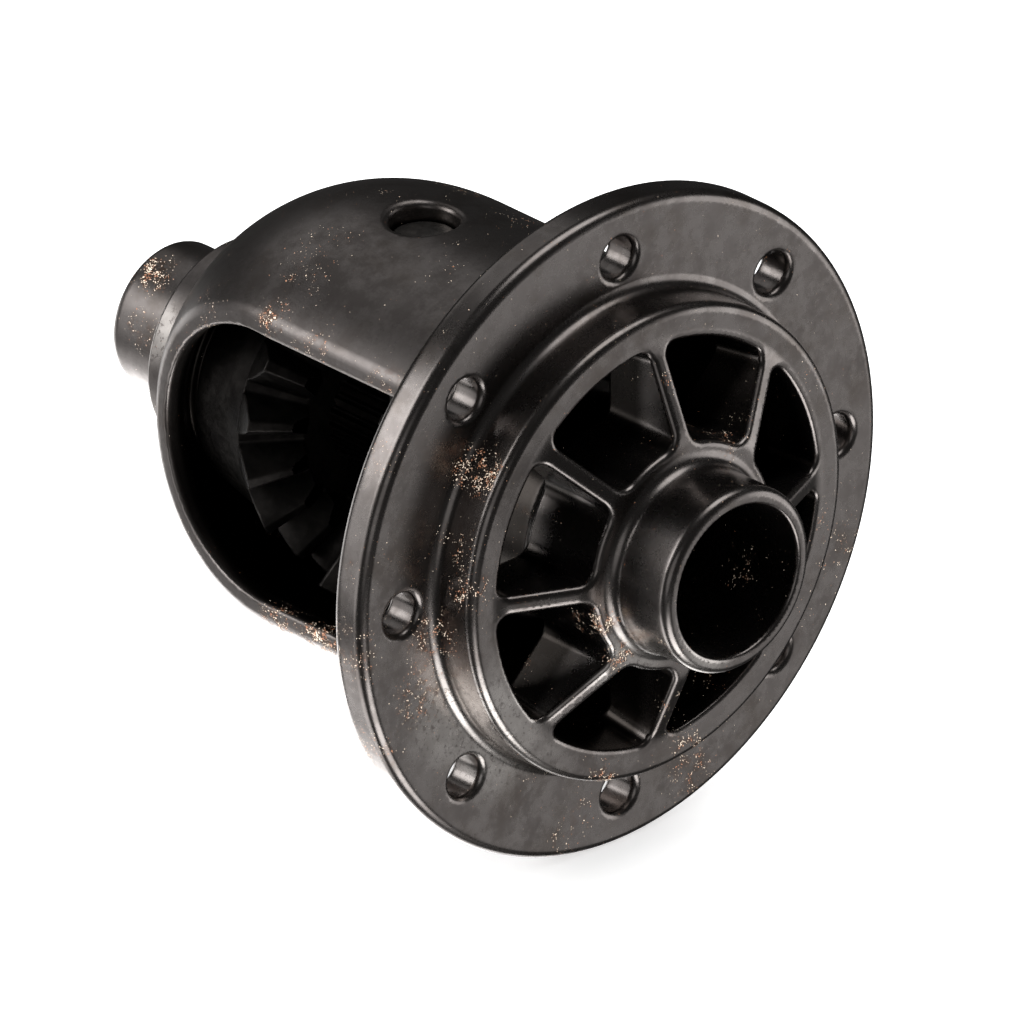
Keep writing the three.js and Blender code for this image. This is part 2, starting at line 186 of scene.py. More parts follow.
def case_hollow(x, y, z, across):
    """The cavity, less the seats that stand into it, and the bores that open into it."""
    cavity = round_meet(bell_field(x, across, CAVITY_RADIUS), x - END_WALL_INNER, CAVITY_EDGE)
    side_seats = np.minimum(
        drum(x, across, SIDE_SEAT, NOSE, SIDE_SEAT_RADIUS, SEAT_EDGE),
        drum(x, across, REAR_END, -SIDE_SEAT, SIDE_SEAT_RADIUS, SEAT_EDGE),
    )
    pinion_seats = round_meet(np.hypot(x, y) - PINION_SEAT_RADIUS, PINION_SEAT - np.abs(z), SEAT_EDGE)
    cavity = round_cut(round_cut(cavity, side_seats, SEAT_FOOT), pinion_seats, SEAT_FOOT)
    bores = np.minimum(
        drum(x, across, SIDE_POCKET_BOTTOM - BORE_OVERLAP, NOSE + BORE_RUN_OUT, FRONT_BORE_RADIUS, 0),
        drum(x, across, REAR_END - BORE_RUN_OUT, BORE_OVERLAP - SIDE_POCKET_BOTTOM, REAR_BORE_RADIUS, 0),
    )
    side_pockets = drum(np.abs(x), across, 0, SIDE_POCKET_BOTTOM, SIDE_POCKET_RADIUS, SIDE_POCKET_EDGE)
    return cavity, np.minimum(bores, side_pockets)


def pocket_field(x, across, angle):
    """The pockets between the ribs, narrowing a little towards the back."""
    draft = (POCKET_OUTER_RADIUS - POCKET_BACK_RADIUS) / (PILOT_FACE - END_WALL_INNER)
    outer = across - (POCKET_OUTER_RADIUS + draft * (x - PILOT_FACE))
    ring = round_meet(outer, POCKET_INNER_RADIUS - across, POCKET_CORNER)
    half_sector = math.pi / RIB_COUNT
    from_rib = across * np.sin(half_sector - np.abs(folded(angle + half_sector, RIB_COUNT)))
    sector = round_meet(ring, RIB_THICKNESS / 2 - from_rib, POCKET_CORNER)
    return np.maximum(sector, END_WALL_INNER - CAVITY_EDGE - x)


def bolt_hole_field(x, across, angle):
    near = folded(angle, BOLT_COUNT)
    hole = np.hypot(across * np.cos(near) - BOLT_CIRCLE_RADIUS, across * np.sin(near))
    return np.maximum(hole - BOLT_HOLE_RADIUS, FLANGE_BACK - BOLT_HOLE_RADIUS - x)


def case_field(x, y, z):
    across = np.hypot(y, z)
    angle = np.arctan2(y, z)
    flange = drum(x, across, FLANGE_BACK, FLANGE_FRONT, FLANGE_RADIUS, FLANGE_EDGE)
    pilot = drum(x, across, FLANGE_BACK + PILOT_EDGE, PILOT_FACE, PILOT_RADIUS, PILOT_EDGE)
    body = fillet_join(flange, pilot, PILOT_FILLET)
    body = fillet_join(body, end_wall(x, across), HUB_EDGE)
    front_journal = drum(x, across, FLANGE_FRONT, NOSE, FRONT_JOURNAL_RADIUS, JOURNAL_EDGE)
    body = fillet_join(body, front_journal, HUB_FILLET)
    collar = drum(x, across, REAR_SHOULDER, -SIDE_SEAT, REAR_COLLAR_RADIUS, REAR_COLLAR_EDGE)
    rear_journal = drum(x, across, REAR_END, -SIDE_SEAT, REAR_JOURNAL_RADIUS, JOURNAL_EDGE)
    collar = fillet_join(collar, rear_journal, REAR_FILLET)
    body = fillet_join(body, windowed_bell(x, y, z, across), BELL_FILLET)
    body = fillet_join(body, collar, REAR_FILLET)
    cavity, bores = case_hollow(x, y, z, across)
    body = round_cut(body, cavity, WINDOW_EDGE)
    body = round_cut(body, pocket_field(x, across, angle), RIB_EDGE)
    body = round_cut(body, bores, BORE_EDGE)
    body = round_cut(body, bolt_hole_field(x, across, angle), BOLT_HOLE_EDGE)
    body = round_cut(body, np.hypot(x, y) - PIN_HOLE_RADIUS, PIN_HOLE_EDGE)
    return round_cut(body, np.hypot(x, z - LOCK_HEIGHT) - LOCK_HOLE_RADIUS, LOCK_HOLE_EDGE)


# ---------------------------------------------------------------- meshing a field
LEAST_STEEPNESS = 0.2              # squared slope, so that a weak field doesn't throw points far
LARGE_FACE = 1.2                   # in grid steps, from a corner to the middle of its face
SHADE_INSET = 0.7                  # in grid steps, how far inside a large face its normal is read
CORNERS = np.array([[i, j, k] for i in (0, 1) for j in (0, 1) for k in (0, 1)])
CELL_EDGES = [
    (a, b) for a in range(8) for b in range(a + 1, 8) if abs(CORNERS[a] - CORNERS[b]).sum() == 1
]


def sample(field, axes, slab=16):
    """Field values on a grid, a few planes at a time to keep the arrays small."""
    x, y, z = axes
    values = np.empty((len(x), len(y), len(z)), np.float32)
    for start in range(0, len(x), slab):
        part = x[start:start + slab, None, None]
        values[start:start + slab] = field(part, y[None, :, None], z[None, None, :])
    return values


def net_points(values, cells):
    """One point in each cell: the mean of the places where the surface crosses the cell's edges."""
    total = np.zeros((len(cells), 3))
    count = np.zeros(len(cells))
    at_corner = [values[tuple((cells + corner).T)] for corner in CORNERS]
    for a, b in CELL_EDGES:
        crosses = (at_corner[a] < 0) != (at_corner[b] < 0)
        start, stop = at_corner[a][crosses], at_corner[b][crosses]
        share = (start / (start - stop))[:, None]
        total[crosses] += CORNERS[a] + share * (CORNERS[b] - CORNERS[a])
        count[crosses] += 1
    return cells + total / count[:, None]


def net_faces(inside, cell_index):
    """One four-sided face round each grid edge that the surface crosses."""
    faces = []
    for axis in range(3):
        side, other = [(axis + 1) % 3, (axis + 2) % 3]
        low = np.take(inside, range(inside.shape[axis] - 1), axis)
        high = np.take(inside, range(1, inside.shape[axis]), axis)
        edges = np.argwhere(low != high)
        edges = edges[(edges[:, side] > 0) & (edges[:, other] > 0)]
        steps = np.zeros((4, 3), int)
        steps[1, side] = steps[2, side] = -1
        steps[2, other] = steps[3, other] = -1
        quads = np.stack([cell_index[tuple((edges + step).T)] for step in steps], 1)
        outward = low[tuple(edges.T)]
        quads[~outward] = quads[~outward][:, ::-1]
        faces.append(quads)
    return np.concatenate(faces)


def slope_of(field, points, reach=0.04):
    """The field's gradient at each point."""
    slope = np.empty_like(points)
    for axis in range(3):
        ahead, behind = points.copy(), points.copy()
        ahead[:, axis] += reach
        behind[:, axis] -= reach
        slope[:, axis] = (field(*ahead.T) - field(*behind.T)) / (2 * reach)
    return slope


def settle(field, points, most):
    """Moves points onto the surface, each by no more than most in one step."""
    for _ in range(3):
        slope = slope_of(field, points)
        steepness = np.maximum((slope ** 2).sum(1), LEAST_STEEPNESS)
        move = -field(*points.T)[:, None] * slope / steepness[:, None]
        length = np.linalg.norm(move, axis=1, keepdims=True)
        points = points + move * np.minimum(1, most / np.maximum(length, TINY))
    return points


def mesh_field(name, field, low, high, step, most_triangles):
    """The surface of a field as a mesh object in metres, with normals taken from the field."""
    low, high = np.array(low) - 2 * step, np.array(high) + 2 * step
    axes = [np.arange(low[i], high[i] + step, step) for i in range(3)]
    values = sample(field, axes)
    inside = values < 0
    part = [slice(None, -1), slice(1, None)]
    counts = sum(inside[part[i], part[j], part[k]].astype(np.int8) for i, j, k in CORNERS)
    cells = np.argwhere((counts > 0) & (counts < 8))
    cell_index = np.full(counts.shape, -1)
    cell_index[tuple(cells.T)] = np.arange(len(cells))
    points = low + net_points(values, cells) * step
    faces = net_faces(inside, cell_index)
    points = settle(field, points, step)
    mesh = bpy.data.meshes.new(name)
    mesh.from_pydata(points * MM, [], faces)
    piece = bpy.data.objects.new(name, mesh)
    bpy.context.scene.collection.objects.link(piece)
    if 2 * len(faces) > most_triangles:
        thin_out(piece, most_triangles / (2 * len(faces)))
        points = settle(field, points_of(piece.data), step / 4)
        piece.data.vertices.foreach_set("co", (points * MM).ravel())
    shade_from_field(piece.data, field, step)
    return piece


def points_of(mesh):
    """Vertex positions in millimetres."""
    points = np.empty(len(mesh.vertices) * 3)
    mesh.vertices.foreach_get("co", points)
    return points.reshape(-1, 3) / MM


def thin_out(piece, ratio):
    """Collapses triangles where the surface is flat."""
    decimate = piece.modifiers.new("thin_out", "DECIMATE")
    decimate.ratio = ratio
    bpy.context.view_layer.update()
    thinned = piece.evaluated_get(bpy.context.evaluated_depsgraph_get())
    old = piece.data
    piece.data = bpy.data.meshes.new_from_object(thinned)
    piece.modifiers.clear()
    bpy.data.meshes.remove(old)
    piece.data.name = piece.name


def shade_from_field(mesh, field, step):
    """Gives each face corner the field's normal: at the corner on small faces, and a little
    inside the face on large ones, so that flats next to a rounded edge stay flat."""
    points = points_of(mesh)
    corner_point = np.empty(len(mesh.loops), int)
    mesh.loops.foreach_get("vertex_index", corner_point)
    starts = np.empty(len(mesh.polygons), int)
    sizes = np.empty(len(mesh.polygons), int)
    mesh.polygons.foreach_get("loop_start", starts)
    mesh.polygons.foreach_get("loop_total", sizes)
    face_of_corner = np.repeat(np.arange(len(starts)), sizes)
    at_corner = points[corner_point]
    middle = np.add.reduceat(at_corner, starts) / sizes[:, None]
    inward = middle[face_of_corner] - at_corner
    distance = np.linalg.norm(inward, axis=1, keepdims=True)
    wanted = np.where(distance > LARGE_FACE * step, SHADE_INSET * step, 0)
    sampled = at_corner + inward * wanted / np.maximum(distance, TINY)
    normals = slope_of(field, sampled)
    normals /= np.maximum(np.linalg.norm(normals, axis=1, keepdims=True), TINY)
    mesh.shade_smooth()
    mesh.normals_split_custom_set(normals)


# ---------------------------------------------------------------- sizes of the inner pieces
CROSS_PIN_RADIUS = (pin_high.x - pin_low.x) / 2 - SKIN
CROSS_PIN_END = pin_high.z - SKIN
CROSS_PIN_EDGE = 1.0
CROSS_PIN_HOLE_EDGE = 0.3
LOCK_PIN_RADIUS = (lock_high.x - lock_low.x) / 2 - SKIN
LOCK_PIN_END = lock_high.y - SKIN
LOCK_PIN_EDGE = 0.5
WASHER_THICKNESS = 1.4
CLEARANCE = 0.3
WASHER_EDGE = 0.35

SIDE_TEETH = 16
PINION_TEETH = 10
CONE_DISTANCE = 42.0
FACE_WIDTH = 15.0
PRESSURE_ANGLE = math.radians(25)
BACKLASH = 0.4
SIDE_ADDENDUM = 0.9
PINION_ADDENDUM = 1.1
TIP_CLEARANCE = 0.2
MODULE = 2 * CONE_DISTANCE / math.hypot(SIDE_TEETH, PINION_TEETH)
TOE_DISTANCE = CONE_DISTANCE - FACE_WIDTH
TOOTH_EDGE = 0.35
ROOT_FILLET = 0.7
GEAR_EDGE = 0.9
SIDE_HUB_RADIUS = 21.0
SIDE_HUB_END = 54.2
SIDE_BACK_RADIUS = 29.0
SIDE_BACK = SIDE_SEAT - WASHER_THICKNESS - 2 * CLEARANCE
PINION_BACK_RADIUS = PINION_SEAT_RADIUS - 1
PINION_BACK = PINION_SEAT - WASHER_THICKNESS - 2 * CLEARANCE
SPLINE_TEETH = 24
SPLINE_MAJOR_RADIUS = 12.9
SPLINE_MINOR_RADIUS = 11.7
SPLINE_BOTTOM = 0.44               # share of half a spline's pitch that lies on the major radius
SPLINE_SLOPE = 0.36                # and the share taken by its sloping side


# ---------------------------------------------------------------- fields of the inner pieces
def involute(base, polar):
    """How far a spherical involute has turned from its base cone at a polar angle."""
    arc = np.arccos(np.clip(np.cos(polar) / math.cos(base), -1, 1))
    turned = arc / math.sin(base) - np.arctan(np.tan(arc) / math.sin(base))
    return np.where(polar > base, turned, 0)


def bevel_gear_field(x, y, z, teeth, mating_teeth, addendum, mating_addendum, back, back_radius):
    """A toothed cone about +Z with its apex at the origin, and its back as far as back."""
    pitch = math.atan(teeth / mating_teeth)
    base = math.asin(math.sin(pitch) * math.cos(PRESSURE_ANGLE))
    tip = pitch + math.atan(addendum * MODULE / CONE_DISTANCE)
    root = pitch - math.atan((mating_addendum + TIP_CLEARANCE) * MODULE / CONE_DISTANCE)
    across = np.hypot(x, y)
    polar = np.arctan2(across, z)
    distance = np.hypot(across, z)
    along = distance * np.cos(polar - pitch)
    root_cone = distance * np.sin(polar - root)
    thickness = math.pi / (2 * teeth) - BACKLASH / (4 * CONE_DISTANCE * math.sin(pitch))
    half_tooth = thickness + float(involute(base, np.array(pitch))) - involute(base, polar)
    flank = across * (np.abs(folded(np.arctan2(y, x), teeth)) - half_tooth)
    tooth = round_meet(flank, distance * np.sin(polar - tip), TOOTH_EDGE)
    toothed = fillet_join(tooth, root_cone, ROOT_FILLET)
    rim = np.maximum(round_meet(toothed, along - CONE_DISTANCE, TOOTH_EDGE), z - back)
    heel = CONE_DISTANCE / math.cos(root - pitch)
    toe = TOE_DISTANCE / math.cos(root - pitch)
    heel_radius, heel_height = heel * math.sin(root), heel * math.cos(root)
    run, rise = heel_radius - back_radius, back - heel_height
    taper = ((across - back_radius) * rise + (z - back) * run) / math.hypot(run, rise)
    blank = np.maximum(root_cone, round_meet(taper, z - back, GEAR_EDGE))
    front = np.maximum(toe * math.cos(root) - z, across - toe * math.sin(root))
    return round_meet(np.minimum(rim, blank), np.minimum(TOE_DISTANCE - along, front), TOOTH_EDGE)


def pinion_field(x, y, z):
    gear = bevel_gear_field(
        x, y, z, PINION_TEETH, SIDE_TEETH, PINION_ADDENDUM, SIDE_ADDENDUM,
        PINION_BACK, PINION_BACK_RADIUS,
    )
    return round_cut(gear, np.hypot(x, y) - PIN_HOLE_RADIUS, GEAR_EDGE)


def spline_field(x, y):
    """The splined hole: its radius steps between the two spline radii, with sloping sides."""
    share = np.abs(folded(np.arctan2(y, x), SPLINE_TEETH)) * SPLINE_TEETH / math.pi
    step = np.clip((share - SPLINE_BOTTOM) / SPLINE_SLOPE, 0, 1)
    return np.hypot(x, y) - SPLINE_MAJOR_RADIUS + step * (SPLINE_MAJOR_RADIUS - SPLINE_MINOR_RADIUS)


def side_gear_field(x, y, z):
    turn = math.pi / SIDE_TEETH
    turned_x = x * math.cos(turn) + y * math.sin(turn)
    turned_y = y * math.cos(turn) - x * math.sin(turn)
    gear = bevel_gear_field(
        turned_x, turned_y, z, SIDE_TEETH, PINION_TEETH, SIDE_ADDENDUM, PINION_ADDENDUM,
        SIDE_BACK, SIDE_BACK_RADIUS,
    )
    across = np.hypot(x, y)
    hub = drum(z, across, TOE_DISTANCE, SIDE_HUB_END, SIDE_HUB_RADIUS, GEAR_EDGE)
    gear = round_cut(fillet_join(gear, hub, TOOTH_EDGE), spline_field(x, y), TOOTH_EDGE)
    lead_in = (across - SPLINE_MAJOR_RADIUS - GEAR_EDGE + (SIDE_HUB_END - z)) / math.sqrt(2)
    return round_cut(gear, lead_in, TOOTH_EDGE)


def cross_pin_field(x, y, z):
    pin = drum(z, np.hypot(x, y), -CROSS_PIN_END, CROSS_PIN_END, CROSS_PIN_RADIUS, CROSS_PIN_EDGE)
    return round_cut(pin, np.hypot(x, z - LOCK_HEIGHT) - LOCK_HOLE_RADIUS, CROSS_PIN_HOLE_EDGE)


def lock_pin_field(x, y, z):
    across = np.hypot(x, z - LOCK_HEIGHT)
    return drum(y, across, -LOCK_PIN_END, LOCK_PIN_END, LOCK_PIN_RADIUS, LOCK_PIN_EDGE)


def washer_field(seat, inner, outer):
    """Field of a flat ring about +Z, whose far face lies the clearance short of seat."""
    far = seat - CLEARANCE

    def field(x, y, z):
        across = np.hypot(x, y)
        disc = drum(z, across, far - WASHER_THICKNESS, far, outer, WASHER_EDGE)
        return round_cut(disc, across - inner, WASHER_EDGE)
    return field


# ---------------------------------------------------------------- node materials
class Tree:
    """Short names for the shader nodes of one material. Sockets are passed as outputs."""

    def __init__(self, name):
        self.material = bpy.data.materials.new(name)
        self.material.use_nodes = True
        self.nodes = self.material.node_tree.nodes
        self.links = self.material.node_tree.links
        self.shader = self.nodes["Principled BSDF"]
        self.place = self.nodes.new("ShaderNodeTexCoord").outputs["Object"]

    def feed(self, socket, value):
        if isinstance(value, bpy.types.NodeSocket):
            self.links.new(value, socket)
        else:
            socket.default_value = value

    def along(self, axis):
        """The place's coordinate on one axis, in metres."""
        node = self.nodes.new("ShaderNodeSeparateXYZ")
        self.feed(node.inputs[0], self.place)
        return node.outputs[axis]

    def noise(self, size, detail=3.0, roughness=0.6, place=None):
        """Noise whose blobs are about size millimetres across, from about 0.3 to 0.7."""
        node = self.nodes.new("ShaderNodeTexNoise")
        node.inputs["Scale"].default_value = 1 / (size * MM)
        node.inputs["Detail"].default_value = detail
        node.inputs["Roughness"].default_value = roughness
        self.feed(node.inputs["Vector"], self.place if place is None else place)
        return node.outputs["Fac"]

    def math(self, operation, *values):
        node = self.nodes.new("ShaderNodeMath")
        node.operation = operation
        for socket, value in zip(node.inputs, values):
            self.feed(socket, value)
        return node.outputs[0]

    def length(self, first, second):
        squares = self.math("MULTIPLY_ADD", first, first, self.math("MULTIPLY", second, second))
        return self.math("SQRT", squares)

    def span(self, value, low, high, to_low=0.0, to_high=1.0):
        """value from low..high stretched to to_low..to_high with soft ends, and no further."""
        node = self.nodes.new("ShaderNodeMapRange")
        node.interpolation_type = "SMOOTHSTEP"
        for socket, number in zip(node.inputs[1:5], (low, high, to_low, to_high)):
            socket.default_value = number
        self.feed(node.inputs["Value"], value)
        return node.outputs["Result"]

    def mix(self, share, first, second):
        node = self.nodes.new("ShaderNodeMix")
        node.data_type = "RGBA"
        self.feed(node.inputs["Factor"], share)
        for socket, colour in ((node.inputs["A"], first), (node.inputs["B"], second)):
            self.feed(socket, colour if isinstance(colour, bpy.types.NodeSocket) else (*colour, 1))
        return node.outputs["Result"]

    def near(self, point, radius):
        """1 round a point given in millimetres, falling to 0 a little beyond radius."""
        node = self.nodes.new("ShaderNodeVectorMath")
        node.operation = "DISTANCE"
        self.feed(node.inputs[0], self.place)
        node.inputs[1].default_value = [value * MM for value in point]
        return self.span(node.outputs["Value"], 0.3 * radius * MM, 1.1 * radius * MM, 1, 0)

    def bump(self, height, depth):
        """Raises the surface by up to depth millimetres where height is 1."""
        node = self.nodes.new("ShaderNodeBump")
        node.inputs["Strength"].default_value = 1.0
        node.inputs["Distance"].default_value = depth * MM
        self.feed(node.inputs["Height"], height)
        self.links.new(node.outputs["Normal"], self.shader.inputs["Normal"])

    def finish(self, colour, roughness, metallic):
        self.feed(self.shader.inputs["Base Color"], colour)
        self.feed(self.shader.inputs["Roughness"], roughness)
        self.feed(self.shader.inputs["Metallic"], metallic)
        return self.material


# Where rust flecks gather on the case: (x, y, z) and radius in millimetres, and a density.
RUST_PATCHES = (
    (70, -48, 31.5, 9, 1.0),       # side of the pilot ring
    (71, -55, 15, 9, 0.55),
    (75, -56.5, 6, 8, 0.8),
    (66, -59, -8, 10, 0.7),        # foot of the pilot ring
    (65, -62, -22, 12, 0.6),
    (86, -25.5, -8, 6, 1.0),       # hub, where the ribs meet it
    (86, -19.7, -18.4, 6, 0.9),
    (80, -27, -12, 7, 0.7),
    (77, -17, -54, 7, 0.75),       # bottom of the pilot ring's face
    (77, 10, -55, 8, 0.75),
    (65, 22, -69, 10, 0.6),
    (65, -12, -69, 8, 0.45),
    (60, -80, -6, 12, 0.5),        # rim of the flange
    (60, -73, -33, 12, 0.5),
    (60, -70, 40, 10, 0.35),
    (65, 68, -28, 12, 0.4),
    (-80, -10, 15, 8, 0.9),        # rear journal and its collar
    (-76, -16, 4, 8, 0.5),
    (-65, -19, 9, 8, 0.7),
    (-9, -39, 38.5, 7, 0.9),       # rim of the window
    (28, -40, 36.5, 9, 0.5),
    (8, -42, -37, 10, 1.0),
    (-6, -42, -37, 10, 0.8),
    (36, -40, -38, 9, 0.9),
    (88, 17, -8, 9, 0.5),          # bore of the front journal
    (-10, -20, 50, 12, 0.35),      # top of the bell
    (12, 22, 52, 12, 0.4),
)

# Paler patches of iron, part wear and part painted highlight, where the photo shows paler metal than the
# lights here give: (x, y, z) and radius in millimetres, and a strength.
WEAR_AND_HIGHLIGHT_PATCHES = (
    (72, -49, -30, 20, 0.65),      # pilot ring, low on the window's side
    (68, -38, -44, 14, 0.6),
    (96, -13, -18, 15, 1.0),       # underside of the front journal
    (88, -20, -20, 11, 0.8),
    (-64, -23, 10, 9, 0.7),        # rear collar
)

# Colours, as linear red, green and blue.
IRON_DARK = (0.152, 0.135, 0.127)
IRON_LIGHT = (0.238, 0.216, 0.206)
IRON_CLOUD = (0.235, 0.214, 0.205)
BROWN_FILM = (0.130, 0.108, 0.092)
DARK_STREAK = (0.085, 0.076, 0.070)
PALE_IRON = (0.60, 0.565, 0.535)
PAINTED_SHADE_COLOUR = (0.028, 0.024, 0.021)
RUST_STAIN = (0.150, 0.085, 0.055)
RUST_RED = (0.50, 0.22, 0.12)
RUST_TAN = (0.92, 0.76, 0.60)

ROUGH_CAST = 0.37
ROUGH_MACHINED = 0.29
STAIN_ROUGHNESS = 0.25
GRAIN_DEPTH = 0.010                # millimetres
FLECK_SIZE = 0.34                  # millimetres
FLECKS_EVERYWHERE = 0.55
NO_FLECKS_LIMIT = 0.875            # noise hardly ever passes this, so density 0 means bare iron
FLECKS_PER_DENSITY = 0.32


def patchy(tree, start, patches):
    """start, raised to each patch's strength near its middle."""
    share = start
    for *point, radius, strength in patches:
        patch = tree.math("MULTIPLY", tree.near(point, radius), strength)
        share = tree.math("MAXIMUM", share, patch)
    return share


def rust(tree):
    """Share of fine rust flecks, and how thick they lie: most in the patches, a few all over."""
    density = tree.span(tree.noise(24), 0.52, 0.72, 0, FLECKS_EVERYWHERE)
    density = patchy(tree, density, RUST_PATCHES)
    clumps = tree.span(tree.noise(2.6, 2), 0.38, 0.62, 0.25, 1.1)
    density = tree.math("MULTIPLY", density, clumps)
    limit = tree.math("MULTIPLY_ADD", density, -FLECKS_PER_DENSITY, NO_FLECKS_LIMIT)
    above = tree.math("SUBTRACT", tree.noise(FLECK_SIZE, 0.0), limit)
    return tree.span(above, 0.0, 0.02), density


def painted_shade(tree):
    """Share of the painted shade, a dark colour laid inside the bell and in the pockets between the
    ribs, where the photo is near-black."""
    x, y, z = (tree.along(axis) for axis in "XYZ")
    across = tree.length(y, z)
    behind = tree.math("MAXIMUM", tree.math("SUBTRACT", BELL_CENTRE * MM, x), 0.0)
    from_middle = tree.length(behind, across)
    wall = (BELL_RADIUS + CAVITY_RADIUS) / 2 * MM
    inside = tree.span(from_middle, wall - 1.5 * MM, wall, 1, 0)
    inside = tree.math("MULTIPLY", inside, tree.span(x, 60 * MM, 66 * MM, 1, 0))
    pocket = tree.span(x, (PILOT_FACE - 5) * MM, PILOT_FACE * MM, 1, 0)
    pocket = tree.math("MULTIPLY", pocket, tree.span(x, 56 * MM, 60 * MM))
    inner, outer = POCKET_INNER_RADIUS * MM, POCKET_OUTER_RADIUS * MM
    pocket = tree.math("MULTIPLY", pocket, tree.span(across, inner - 0.5 * MM, inner + MM))
    pocket = tree.math("MULTIPLY", pocket, tree.span(across, outer - 0.5 * MM, outer + MM, 1, 0))
    return tree.math("MAXIMUM", inside, pocket)


def bare_iron(tree, mottle):
    """Colour of the clean casting: mottled, clouded, and in places brown or streaked."""
    cloud = tree.noise(38, 4)
    streaks = tree.span(tree.noise(3.2, 6, 0.8), 0.55, 0.66)
    brown = tree.math("MULTIPLY", tree.span(tree.noise(15, 4), 0.5, 0.68), 0.4)
    metal = tree.mix(mottle, IRON_DARK, IRON_LIGHT)
    metal = tree.mix(tree.span(cloud, 0.35, 0.65, 0, 0.8), metal, IRON_CLOUD)
    metal = tree.mix(brown, metal, BROWN_FILM)
    return tree.mix(tree.math("MULTIPLY", streaks, 0.25), metal, DARK_STREAK)


def wear_and_highlight_share(tree, mottle):
    """How much paler the iron is in the patches of wear and painted highlight, less the dark scratches
    across them.
    """
    pale_share = patchy(tree, 0.0, WEAR_AND_HIGHLIGHT_PATCHES)
    pale_share = tree.math("MULTIPLY", pale_share, tree.span(mottle, 0, 1, 0.7, 1))
    scratches = tree.span(tree.noise(1.3, 4, 0.75), 0.56, 0.60, 1, 0.1)
    return tree.math("MULTIPLY", pale_share, scratches)


def iron_roughness(tree, mottle, stain):
    """Satin, smoother on the machined front than on the cast bell, and dull under stains."""
    machined = tree.span(tree.along("X"), (FLANGE_BACK - 3) * MM, FLANGE_BACK * MM)
    rough = tree.math("MULTIPLY_ADD", machined, ROUGH_MACHINED - ROUGH_CAST, ROUGH_CAST)
    rough = tree.math("MULTIPLY_ADD", mottle, -0.03, rough)
    return tree.math("ADD", rough, tree.math("MULTIPLY", stain, STAIN_ROUGHNESS))


def iron_material():
    """Dark cast iron with paler patches of wear and painted highlight, painted shade in its hollows and
    fine flecks of rust.
    """
    tree = Tree("cast_iron_dark")
    mottle = tree.span(tree.noise(6.5, 5, 0.7), 0.36, 0.64)
    # Paler patches: part wear, part painted highlight.
    metal = tree.mix(wear_and_highlight_share(tree, mottle), bare_iron(tree, mottle), PALE_IRON)
    # Painted shade: a dark colour inside the bell and in the pockets between the ribs.
    metal = tree.mix(tree.math("MULTIPLY", painted_shade(tree), 0.93), metal, PAINTED_SHADE_COLOUR)
    flecks, density = rust(tree)
    stain = tree.math("MULTIPLY", tree.span(density, 0.2, 1.0), 0.6)
    metal = tree.mix(stain, metal, RUST_STAIN)
    fleck = tree.mix(tree.span(tree.noise(1.4, 1), 0.38, 0.56), RUST_RED, RUST_TAN)
    grain = tree.math("MULTIPLY", tree.noise(0.8, 2), 0.35)
    tree.bump(tree.math("ADD", grain, tree.math("MULTIPLY", flecks, 0.8)), GRAIN_DEPTH)
    metallic = tree.span(flecks, 0, 1, 1.0, 0.0)
    return tree.finish(tree.mix(flecks, metal, fleck), iron_roughness(tree, mottle, stain), metallic)


def steel_material(name, dark, light, roughness, squeeze=(1, 1, 1)):
    """Machined or hardened steel: slight mottling, oil-dark patches and fine tool marks, which
    are squeezed by a factor along each axis."""
    tree = Tree(name)
    mapping = tree.nodes.new("ShaderNodeMapping")
    mapping.inputs["Scale"].default_value = squeeze
    tree.feed(mapping.inputs["Vector"], tree.place)
    place = mapping.outputs["Vector"]
    marks = tree.noise(1.6, 3, 0.6, place)
    mottle = tree.span(tree.noise(5, 4), 0.38, 0.62)
    colour = tree.mix(mottle, dark, light)
    oil = tree.math("MULTIPLY", tree.span(tree.noise(9, 3), 0.5, 0.66), 0.5)
    colour = tree.mix(oil, colour, [0.45 * value for value in dark])
    rough = tree.span(marks, 0.3, 0.7, roughness - 0.07, roughness + 0.09)
    tree.bump(marks, 0.02)
    return tree.finish(colour, rough, 0.95)


# ---------------------------------------------------------------- pieces
CASE_STEP = 0.8
GEAR_STEP = 0.5
SMALL_STEP = 0.3
MOST_TRIANGLES = 190_000
CASE_BOX = ((REAR_END, -FLANGE_RADIUS, -FLANGE_RADIUS), (NOSE, FLANGE_RADIUS, FLANGE_RADIUS))
PINION_BOX = ((-28, -28, 17), (28, 28, PINION_BACK))
SIDE_GEAR_BOX = ((-39, -39, 15), (39, 39, SIDE_HUB_END))


def place_piece(piece, body, node, material, turn=0.0):
    """Puts a finished piece in place of its CAD node, turned about Y as the node is."""
    piece.rotation_euler = (0, turn, 0)
    piece.data.materials.append(material)
    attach(piece, body)
    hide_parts(node)


def twin(piece):
    """A copy with a mesh of its own."""
    copy = piece.copy()
    copy.data = piece.data.copy()
    bpy.context.scene.collection.objects.link(copy)
    return copy


iron = iron_material()
gear_steel = steel_material("gear_steel_oiled", (0.020, 0.018, 0.017), (0.034, 0.031, 0.029), 0.45)
pin_steel = steel_material(
    "pin_steel_ground", (0.10, 0.095, 0.09), (0.16, 0.15, 0.14), 0.36, squeeze=(1, 1, 12),
)
washer_steel = steel_material("washer_steel", (0.07, 0.062, 0.055), (0.12, 0.108, 0.098), 0.45)

case = mesh_field("case_casting", case_field, *CASE_BOX, CASE_STEP, MOST_TRIANGLES)
place_piece(case, "case", "differential_case", iron)

